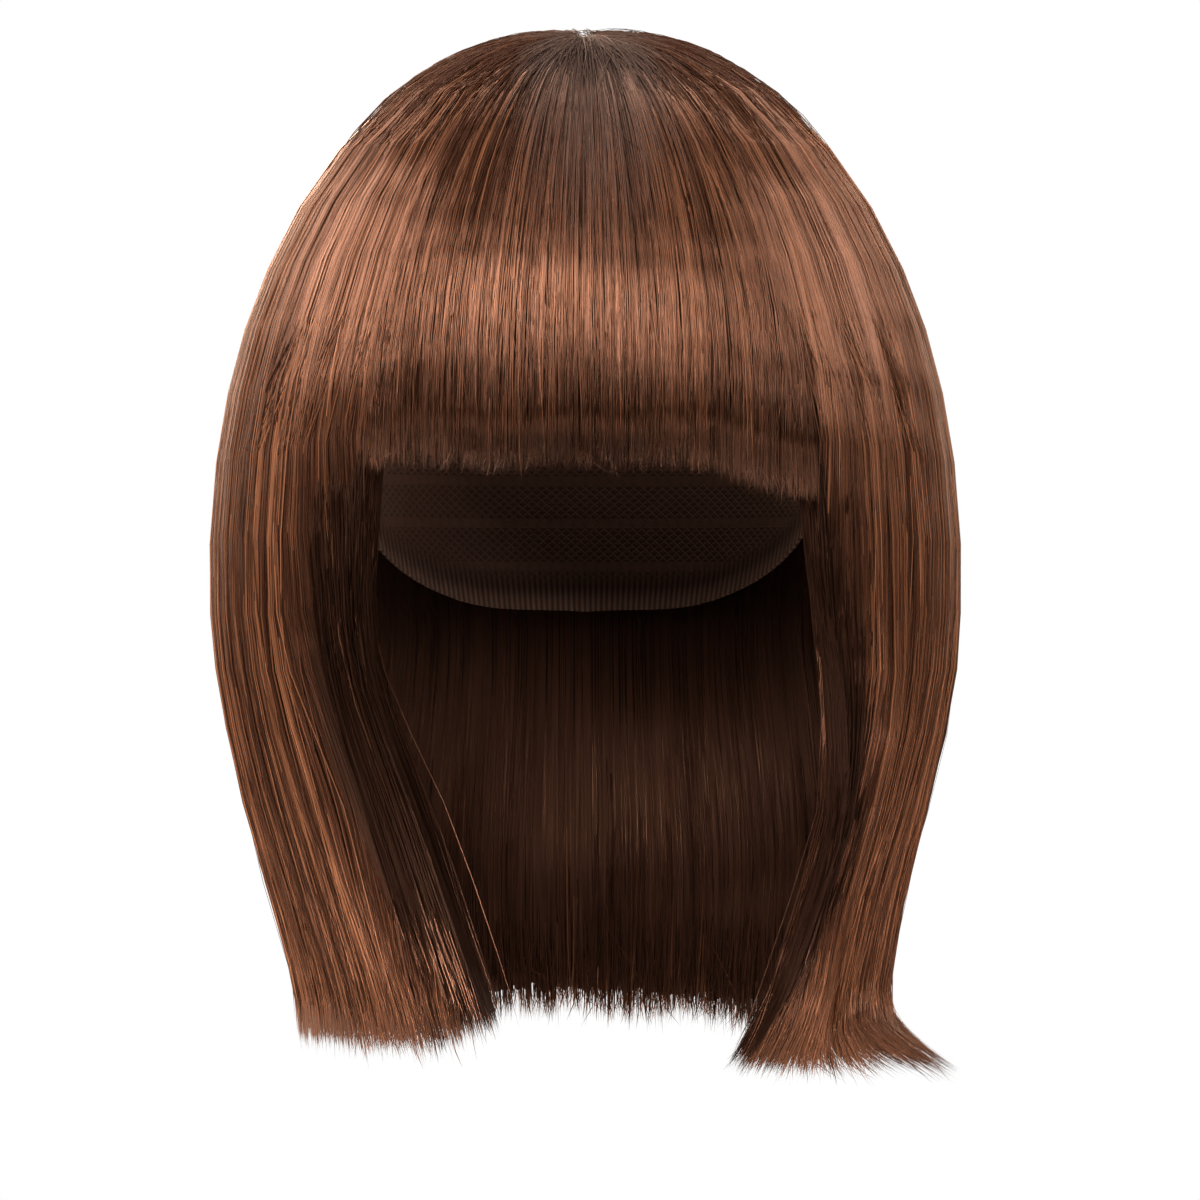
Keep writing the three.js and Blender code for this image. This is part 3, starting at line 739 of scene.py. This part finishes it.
def inner_strands(section):
    """The strands darkened as painted shade: down a section's inside and in the inner half of its tips
    and, beside the face, down its edge and between that and the edge of its outer layer."""
    even = np.linspace(0, 1, UNDER_SEGMENTS + 1)
    parts = [strands_of_kind(section, "under", even, section["under"])]
    if section["edge"]:
        parts.append(strands_of_kind(section, "edge", even, section["edge"]))
        parts.append(strands_of_kind(section, "shaded", even, section["shaded"]))
    even = np.linspace(0, 1, TIP_SEGMENTS + 1)
    parts.append(strands_of_kind(section, "inner tips", even, int(section["tips"] * (1 - OUTER_TIPS))))
    return join(parts)


def triangles(faces):
    """Faces with four corners as two faces each with three."""
    if faces.shape[1] == 3:
        return faces
    return np.concatenate([faces[:, [0, 1, 2]], faces[:, [0, 2, 3]]])


def grid_faces(rows, columns):
    """Faces with four corners between the rows of a grid whose last column joins its first."""
    i = np.arange((rows - 1) * columns).reshape(rows - 1, columns)
    j = np.roll(i, -1, axis=1)
    return np.stack([i, i + columns, j + columns, j], -1).reshape(-1, 4)


def capped_faces(rows, columns):
    """The faces of such a grid, closed at each end by a fan to a pole. The two poles are the points
    after the grid's own."""
    start_pole = rows * columns
    j = np.arange(columns)
    after = (j + 1) % columns
    last = (rows - 1) * columns
    start = np.stack([np.full(columns, start_pole), j, after], -1)
    end = np.stack([np.full(columns, start_pole + 1), last + after, last + j], -1)
    return np.concatenate([triangles(grid_faces(rows, columns)), start, end])


def mass(section):
    """The body of a section: a loop of points across its outside and back across its inside, in rows
    from the crown to just above its tips. Fine ridges run down it, and it thins to a ragged end."""
    short = section["short"]
    columns = section["locks"] * 14 + 1
    rows = of_cut("body_rows", short)
    share = np.linspace(0, 1, columns)
    ragged = rng.uniform(0, 4, columns) + 1.5 * (np.sin(share * section["locks"] * 40) + 1)
    ragged += 5 * thin_part(section, share)
    end = end_fall(section, share, -(ragged * 0.7 + 3) * MM)
    t = np.linspace(0, 1, rows)[:, None]
    fall = CROWN_RING + (end - CROWN_RING) * t
    wide = np.broadcast_to(share, fall.shape)
    ridges = rng.normal(0, 1, columns) * 0.28 * MM
    thins_over = of_cut("body_thins_over", short)
    thin = smooth((fall - end + thins_over) / thins_over)
    heading = section_heading(section, wide, fall)
    turned_in_and_shaded = beside_face(section, heading, fall)
    outer = in_section(section, wide, fall, BED_DEPTH + ridges + EDGE_TURN * turned_in_and_shaded, thin * 0.35)
    inner = in_section(section, wide, fall, -ridges + 0 * fall, 1 - thin * 0.4)
    loops = np.concatenate([outer, inner[:, ::-1]], axis=1)

    j = np.arange(columns - 1)
    back = columns * 2 - 1 - j
    top = np.stack([j, j + 1, back - 1, back], -1)
    low = top[:, ::-1] + (rows - 1) * columns * 2
    faces = np.concatenate([grid_faces(rows, columns * 2), top, low])

    wide_m = length_along(outer[rows // 2])
    x = np.concatenate([wide_m, wide_m[::-1] + 0.5])
    y = np.concatenate([fall, fall[:, ::-1]], axis=1) * FALL_LENGTH
    # Painted shade: the body's outside is darker beside the face, and its inside has nearly the darkest
    # colour
    tint = np.concatenate([0.4 - 0.22 * turned_in_and_shaded, 0.02 + 0 * turned_in_and_shaded], axis=1)
    hair = np.stack([np.broadcast_to(x, y.shape), y, tint], -1).reshape(-1, 3)
    root = root_shade(heading, fall)
    root = np.concatenate([root, root[:, ::-1]], axis=1).reshape(-1)
    return loops.reshape(-1, 3), faces, hair, root


def crown_place(heading, fall, depth):
    """A place over the whorl at a depth under the outside."""
    return outside(heading, fall) - outwards(heading, np.maximum(fall, 0.02)) * depth[..., None]


def crown_bed():
    """The lid over the whorl: rings from the whorl out to the crown's ring, and back on the cap."""
    columns = 120
    heading = np.arange(columns) * 360 / columns
    out_fall = np.concatenate([[0.004], np.linspace(0.03, CROWN_RING, 9)])
    rows = len(out_fall)
    fall = np.concatenate([out_fall, out_fall[::-1]])[:, None] + 0 * heading
    wide = heading + 0 * fall
    ridges = rng.normal(0, 0.12, columns) * MM
    points = crown_place(wide, fall, np.broadcast_to(BED_DEPTH + ridges, wide.shape))
    points[rows:] = head(CAP_AND_GAP, wide[rows:], fall[rows:])
    whorl = np.zeros(1)
    poles = [crown_place(whorl, whorl, whorl + BED_DEPTH), head(CAP_AND_GAP, whorl, whorl)]
    points = np.concatenate([points.reshape(-1, 3), *poles])
    # The lid's low tint is painted shade under the strands
    hair = np.stack([wide * 0.0004, fall * FALL_LENGTH, np.full(wide.shape, 0.15)], -1)
    hair = np.concatenate([hair.reshape(-1, 3), np.zeros((2, 3))])
    root = np.concatenate([root_shade(wide, fall).reshape(-1), [1, 1]])
    return points, capped_faces(rows * 2, columns), hair, root


def crown_strands():
    """Strands that start round the whorl and go beneath the sections' own strands outside the ring.
    Nearly half of them are loose: they stray further to either side and lie over the others."""
    count = CROWN_STRANDS
    heading0 = rng.uniform(0, 360, count)
    start = 0.003 + 0.125 * rng.random(count) ** 1.2
    end = rng.uniform(0.22, 0.55, count)
    t = np.linspace(0, 1, CROWN_SEGMENTS + 1)
    fall = start[:, None] + (end - start)[:, None] * t
    swirl = 16 * np.exp(-fall / 0.035)
    loose = rng.random(count) < 0.45
    stray = np.where(loose, 13, 2) * rng.normal(0, 1, count)
    heading = heading0[:, None] + swirl + stray[:, None] * np.sin(t * np.pi * 0.8)
    sunk = 1.8 * MM * smooth((t - 0.6) / 0.4) + 0.9 * MM * (1 - smooth(t / 0.25))
    depth = (rng.exponential(0.35, count) * MM)[:, None] + sunk - 0.2 * MM
    depth = depth - (np.where(loose, 0.9, 0) * MM)[:, None] * smooth((t - 0.1) / 0.5)
    relief = LOCK_RELIEF * 0.6 * smooth(fall / 0.4)
    paths = crown_place(heading, fall, depth - relief)
    radius = STRAND_RADIUS * rng.uniform(0.6, 1.0, count)[:, None]
    radius = radius * mix(0.5, 1, smooth(fall / 0.3)) * narrowing(t)
    points, faces = tubes(paths, across(heading), radius)
    tint = np.clip(rng.normal(0.42, 0.08, count), 0, 1)[:, None] + 0 * fall
    own = rng.uniform(0, 10, count)[:, None] + 0 * fall
    hair = np.stack([own, fall * FALL_LENGTH, tint], -1)
    root = root_shade(heading, fall + rng.normal(0, 0.04, count)[:, None])
    return points, faces, on_tubes(hair), on_tubes(root)


def join(parts):
    """Several sets of points, faces and values as one."""
    first = np.cumsum([0] + [len(points) for points, *_ in parts])
    points = np.concatenate([points for points, *_ in parts])
    faces = np.concatenate([triangles(part[1]) + first[i] for i, part in enumerate(parts)])
    hair = np.concatenate([part[2] for part in parts])
    root = np.concatenate([part[3] for part in parts])
    return points, faces, hair, root


def add_piece(name, node, material, made):
    """A piece from points and faces, with the values that its material reads at each point. It replaces
    a node, rides on the one body and has one material."""
    points, faces, hair, root = made
    mesh = bpy.data.meshes.new(name)
    mesh.vertices.add(len(points))
    mesh.vertices.foreach_set("co", np.ascontiguousarray(points, np.float32).ravel())
    mesh.loops.add(faces.size)
    mesh.loops.foreach_set("vertex_index", np.ascontiguousarray(faces, np.int32).ravel())
    mesh.polygons.add(len(faces))
    mesh.polygons.foreach_set("loop_start", np.arange(0, faces.size, faces.shape[1], dtype=np.int32))
    mesh.polygons.foreach_set("use_smooth", np.ones(len(faces), bool))
    for label, kind, key, values in (
        ("hair", "FLOAT_VECTOR", "vector", hair), ("root", "FLOAT", "value", root)
    ):
        attribute = mesh.attributes.new(label, kind, "POINT")
        attribute.data.foreach_set(key, np.ascontiguousarray(values, np.float32).ravel())
    mesh.update(calc_edges=True)
    mesh.materials.append(material)
    piece = bpy.data.objects.new(name, mesh)
    bpy.context.collection.objects.link(piece)
    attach(piece, "root")
    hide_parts(node)


def cap_piece(material):
    """The cap: the head's surface and the same at the wall's thickness, from the whorl to the rim, with a
    rolled hem along the rim."""
    columns, rows = 144, 34
    heading = np.arange(columns) * 360 / columns
    t = np.concatenate([[0.01], np.linspace(0.05, 1, rows - 1)])[:, None]
    fall = t * rim_fall(heading)
    wide = heading + 0 * fall
    in_hem = smooth((t - 0.94) / 0.03) + 0 * fall
    outer = head(CAP_WALL, wide, fall)
    inner = head(0, wide, fall) - towards(wide) * (in_hem * HEM)[..., None]
    poles = np.array([[0, -WHORL_FORWARD, wall[0, :, 2].mean()] for wall in (outer, inner)])
    points = np.concatenate([np.concatenate([outer, inner[::-1]]).reshape(-1, 3), poles])
    faces = capped_faces(rows * 2, columns)
    across_m = np.radians(wide) * 0.09 * np.sin(np.minimum(fall, 1) * np.pi / 2)
    net = np.stack([across_m, fall * FALL_LENGTH, in_hem], -1)
    net = np.concatenate([np.concatenate([net, net[::-1]]).reshape(-1, 3), np.zeros((2, 3))])
    made = (points, faces, net, np.zeros(len(points)))
    add_piece("wig_cap_net", "wig_cap", material, made)


def new_group(name, inputs, outputs):
    """A shader node group with these sockets, and its input and output nodes."""
    group = bpy.data.node_groups.new(name, "ShaderNodeTree")
    for label, kind in inputs.items():
        group.interface.new_socket(label, in_out="INPUT", socket_type=kind)
    for label, kind in outputs.items():
        group.interface.new_socket(label, in_out="OUTPUT", socket_type=kind)
    return group, group.nodes.new("NodeGroupInput"), group.nodes.new("NodeGroupOutput")


def set_inputs(node, values):
    """Give a node's inputs their values, by name."""
    for label, value in values.items():
        node.inputs[label].default_value = value


def vector_node(tree, operation, vector, by=None):
    """A Vector Math node on another node's output, and for some operations by a fixed vector."""
    node = tree.nodes.new("ShaderNodeVectorMath")
    node.operation = operation
    tree.links.new(vector, node.inputs[0])
    if by:
        node.inputs[1].default_value = by
    return node.outputs["Value" if operation == "LENGTH" else "Vector"]


def math_node(tree, operation, a, b=None, clamp=False):
    """A Math node, each of whose inputs is a number or another node's output."""
    node = tree.nodes.new("ShaderNodeMath")
    node.operation = operation
    node.use_clamp = clamp
    for socket, value in zip(node.inputs, (a, b)):
        if value is None:
            continue
        if isinstance(value, (int, float)):
            socket.default_value = value
        else:
            tree.links.new(value, socket)
    return node.outputs[0]


def plus(tree, a, b, clamp=False):
    return math_node(tree, "ADD", a, b, clamp)


def times(tree, a, b, clamp=False):
    return math_node(tree, "MULTIPLY", a, b, clamp)


def mix_colours(tree, share, a, b):
    """A Mix node between two colours, each a value or another node's output."""
    node = tree.nodes.new("ShaderNodeMix")
    node.data_type = "RGBA"
    for socket, value in ((node.inputs["Factor"], share), (node.inputs["A"], a), (node.inputs["B"], b)):
        if isinstance(value, (int, float, tuple)):
            socket.default_value = value
        else:
            tree.links.new(value, socket)
    return node.outputs["Result"]


def noise_at(tree, vector, scale, detail):
    """A noise, from 0 to 1, whose three coordinates are stretched by the scale."""
    noise = tree.nodes.new("ShaderNodeTexNoise")
    set_inputs(noise, {"Scale": 1, "Detail": detail})
    tree.links.new(vector_node(tree, "MULTIPLY", vector, scale), noise.inputs["Vector"])
    return noise.outputs["Fac"]


def hair_group():
    """Hair's colour and fine relief. Hair holds metres across, metres along and a tint from 0 to 1 that
    picks between the dark, the middle and the light colour. Streaks are noise stretched along the hair.
    Gloss differs from hair to hair. Root above 0 brings in the roots' colour and a little dullness, and
    below 0 only dullness."""
    number = "NodeSocketFloat"
    inputs = {"Hair": "NodeSocketVector", "Root": number, "Streaks": number, "Roughness": number}
    inputs |= {label: "NodeSocketColor" for label in HAIR_COLOURS}
    outputs = {"Color": "NodeSocketColor", "Roughness": number, "Height": number}
    group, given, result = new_group("hair colour", inputs, outputs)
    hair, at_root = given.outputs["Hair"], given.outputs["Root"]
    parts = group.nodes.new("ShaderNodeSeparateXYZ")
    group.links.new(hair, parts.inputs[0])
    fine = noise_at(group, hair, (2200, 12, 0), 2)
    broad = noise_at(group, hair, (160, 9, 0), 2)
    streaks, fine_streaks = (
        times(group, plus(group, noise, -0.5), given.outputs["Streaks"]) for noise in (broad, fine)
    )
    tint = plus(group, parts.outputs["Z"], plus(group, streaks, fine_streaks))
    low = times(group, tint, 2, clamp=True)
    high = plus(group, times(group, tint, 2), -1, clamp=True)
    colour = mix_colours(group, low, given.outputs["Dark"], given.outputs["Middle"])
    colour = mix_colours(group, high, colour, given.outputs["Light"])

    root = plus(group, at_root, times(group, streaks, 0.5), clamp=True)
    root = times(group, root, math_node(group, "GREATER_THAN", at_root, 0.001))
    colour = mix_colours(group, root, colour, given.outputs["Roots"])

    uneven = math_node(group, "MAXIMUM", plus(group, times(group, fine, 3.8), -0.9), 0.45)
    rough = times(group, given.outputs["Roughness"], uneven)
    duller = math_node(group, "MAXIMUM", times(group, at_root, 0.12), times(group, at_root, -0.9))
    rough = plus(group, rough, duller)
    group.links.new(colour, result.inputs["Color"])
    group.links.new(rough, result.inputs["Roughness"])
    group.links.new(fine, result.inputs["Height"])
    return group


def new_material(name):
    material = bpy.data.materials.new(name)
    material.use_nodes = True
    tree = material.node_tree
    return material, tree, tree.nodes["Principled BSDF"]


def read_attribute(tree, name, output):
    node = tree.nodes.new("ShaderNodeAttribute")
    node.attribute_name = name
    return node.outputs[output]


def add_bump(tree, shader, height, distance, strength):
    bump = tree.nodes.new("ShaderNodeBump")
    set_inputs(bump, {"Distance": distance, "Strength": strength})
    tree.links.new(height, bump.inputs["Height"])
    tree.links.new(bump.outputs["Normal"], shader.inputs["Normal"])


def hair_material(name, group, colours, streaks, roughness, gloss, relief):
    """Hair: the group's colours on a glossy coloured shader, with a bump where it isn't single strands."""
    material, tree, shader = new_material(name)
    node = tree.nodes.new("ShaderNodeGroup")
    node.node_tree = group
    tree.links.new(read_attribute(tree, "hair", "Vector"), node.inputs["Hair"])
    tree.links.new(read_attribute(tree, "root", "Fac"), node.inputs["Root"])
    set_inputs(node, {label: (*colour, 1) for label, colour in colours.items()})
    set_inputs(node, {"Streaks": streaks, "Roughness": roughness})
    tree.links.new(node.outputs["Color"], shader.inputs["Base Color"])
    tree.links.new(node.outputs["Roughness"], shader.inputs["Roughness"])
    set_inputs(shader, {"Specular IOR Level": gloss, "Specular Tint": SHEEN_TINT, "IOR": 1.55})
    if relief:
        add_bump(tree, shader, node.outputs["Height"], relief, 0.8)
    return material


def wave(tree, value, length):
    """A sine wave of a length along a value in metres."""
    return math_node(tree, "SINE", times(tree, value, 2 * np.pi / length))


def net_material():
    """The cap's brown net: two sets of fine threads that cross, level seams where the rows of hair are
    sewn on, and a finely ribbed hem."""
    material, tree, shader = new_material("cap net")
    parts = tree.nodes.new("ShaderNodeSeparateXYZ")
    tree.links.new(read_attribute(tree, "hair", "Vector"), parts.inputs[0])
    x, y, in_hem = parts.outputs
    threads = []
    for sign in (1, -1):
        slant = plus(tree, x, times(tree, y, sign))
        threads.append(wave(tree, slant, 2.1 * MM))
    weave = math_node(tree, "MAXIMUM", threads[0], threads[1])
    row = wave(tree, y, 11 * MM)
    seam = times(tree, plus(tree, row, -0.72), 12, clamp=True)
    stitch = times(tree, wave(tree, x, 2.6 * MM), 0.25)
    seam = times(tree, seam, plus(tree, stitch, 0.9))
    net = math_node(tree, "MAXIMUM", weave, seam)
    to_ribs = math_node(tree, "SUBTRACT", wave(tree, x, 1.3 * MM), net)
    closed = plus(tree, net, times(tree, to_ribs, in_hem))
    share = times(tree, plus(tree, closed, 1), 0.5, clamp=True)
    tree.links.new(mix_colours(tree, share, *NET_COLOURS), shader.inputs["Base Color"])
    set_inputs(shader, {"Roughness": 0.85, "Specular IOR Level": 0.15})
    add_bump(tree, shader, share, 0.5 * MM, 0.8)
    return material


def add_light(name, place, aim, size, power, colour, spread=180):
    """A soft oval light that faces a point, with its spread in degrees."""
    light = bpy.data.lights.new(name, "AREA")
    light.shape = "ELLIPSE"
    light.size, light.size_y = size
    light.energy = power
    light.color = colour
    light.spread = np.radians(spread)
    lamp = bpy.data.objects.new(name, light)
    lamp.location = place
    lamp.visible_camera = False
    lamp.rotation_euler = (Vector(aim) - Vector(place)).to_track_quat("-Z", "Y").to_euler()
    bpy.context.collection.objects.link(lamp)


def add_camera():
    """The camera, with a long lens, in front of the face."""
    camera = bpy.data.objects.new("camera", bpy.data.cameras.new("camera"))
    camera.data.lens = CAMERA_LENS
    camera.data.sensor_width = 36
    camera.location = CAMERA_PLACE
    camera.rotation_euler = (np.pi / 2, 0, 0)
    bpy.context.collection.objects.link(camera)
    bpy.context.scene.camera = camera


def add_floor():
    """A pale round floor under the wig that fades out to the white backdrop and is clear from below."""
    count = 96
    turn = np.arange(count) * 2 * np.pi / count
    corners = np.stack([np.cos(turn), np.sin(turn), 0 * turn], -1) * FLOOR_REACH + [0, 0, FLOOR]
    mesh = bpy.data.meshes.new("floor")
    mesh.from_pydata(corners.tolist(), [], [tuple(range(count))])
    material, tree, shader = new_material("pale floor")
    set_inputs(shader, {"Base Color": (0.86, 0.85, 0.84, 1), "Roughness": 0.9})
    place = tree.nodes.new("ShaderNodeTexCoord")
    level = vector_node(tree, "MULTIPLY", place.outputs["Object"], (1, 1, 0))
    fade = tree.nodes.new("ShaderNodeMapRange")
    fade.interpolation_type = "SMOOTHSTEP"
    set_inputs(fade, {"From Min": FLOOR_FADE[0], "From Max": FLOOR_FADE[1], "To Min": 1, "To Max": 0})
    tree.links.new(vector_node(tree, "LENGTH", level), fade.inputs["Value"])
    geometry = tree.nodes.new("ShaderNodeNewGeometry")
    from_above = math_node(tree, "SUBTRACT", 1, geometry.outputs["Backfacing"])
    shown = times(tree, fade.outputs["Result"], from_above)
    tree.links.new(shown, shader.inputs["Alpha"])
    mesh.materials.append(material)
    floor = bpy.data.objects.new("floor", mesh)
    bpy.context.collection.objects.link(floor)


def light_scene():
    """A white backdrop, which lights the scene less than it shows, and the lights."""
    world = bpy.data.worlds.new("studio")
    bpy.context.scene.world = world
    world.use_nodes = True
    tree = world.node_tree
    backdrop = tree.nodes["Background"]
    backdrop.inputs["Color"].default_value = (1, 1, 1, 1)
    even = tree.nodes.new("ShaderNodeBackground")
    set_inputs(even, {"Color": (1, 0.98, 0.96, 1), "Strength": 0.15})
    path = tree.nodes.new("ShaderNodeLightPath")
    choice = tree.nodes.new("ShaderNodeMixShader")
    tree.links.new(path.outputs["Is Camera Ray"], choice.inputs["Fac"])
    tree.links.new(even.outputs[0], choice.inputs[1])
    tree.links.new(backdrop.outputs[0], choice.inputs[2])
    tree.links.new(choice.outputs[0], tree.nodes["World Output"].inputs["Surface"])
    for name, light in LIGHTS.items():
        add_light(name, *light)


def build():
    """The cap, the hair over the whorl, and the body and the strands of each section."""
    group = hair_group()
    # The hair beneath, inside and in the lid over the whorl gets darker copies of the colours as painted
    # shade
    beneath = {label: tuple(PAINTED_SHADE_SHARE * part for part in colour) for label, colour in HAIR_COLOURS.items()}
    strand_finish = hair_material("chestnut strands", group, HAIR_COLOURS, 0.35, 0.26, 0.9, 0)
    painted_shade_finish = hair_material("chestnut hair in painted shade", group, beneath, 0.6, 0.45, 0.2, 0.8 * MM)
    root_finish = hair_material("dark root hair", group, HAIR_COLOURS, 0.35, 0.7, 0.25, 0)
    cap_piece(net_material())
    add_piece("crown_hair_mass", "crown_hair", painted_shade_finish, crown_bed())
    add_piece("crown_hair_strands", "crown_hair", root_finish, crown_strands())
    first = 0
    for section in SECTIONS:
        section["first"] = first
        first += section["locks"]
        node = section["node"]
        lay_wisps(section)
        body = join([mass(section), inner_strands(section)])
        add_piece(f"{node}_mass", node, painted_shade_finish, body)
        add_piece(f"{node}_strands", node, strand_finish, outer_strands(section))


build()
add_camera()
add_floor()
light_scene()
bpy.context.scene.view_settings.view_transform = "Standard"
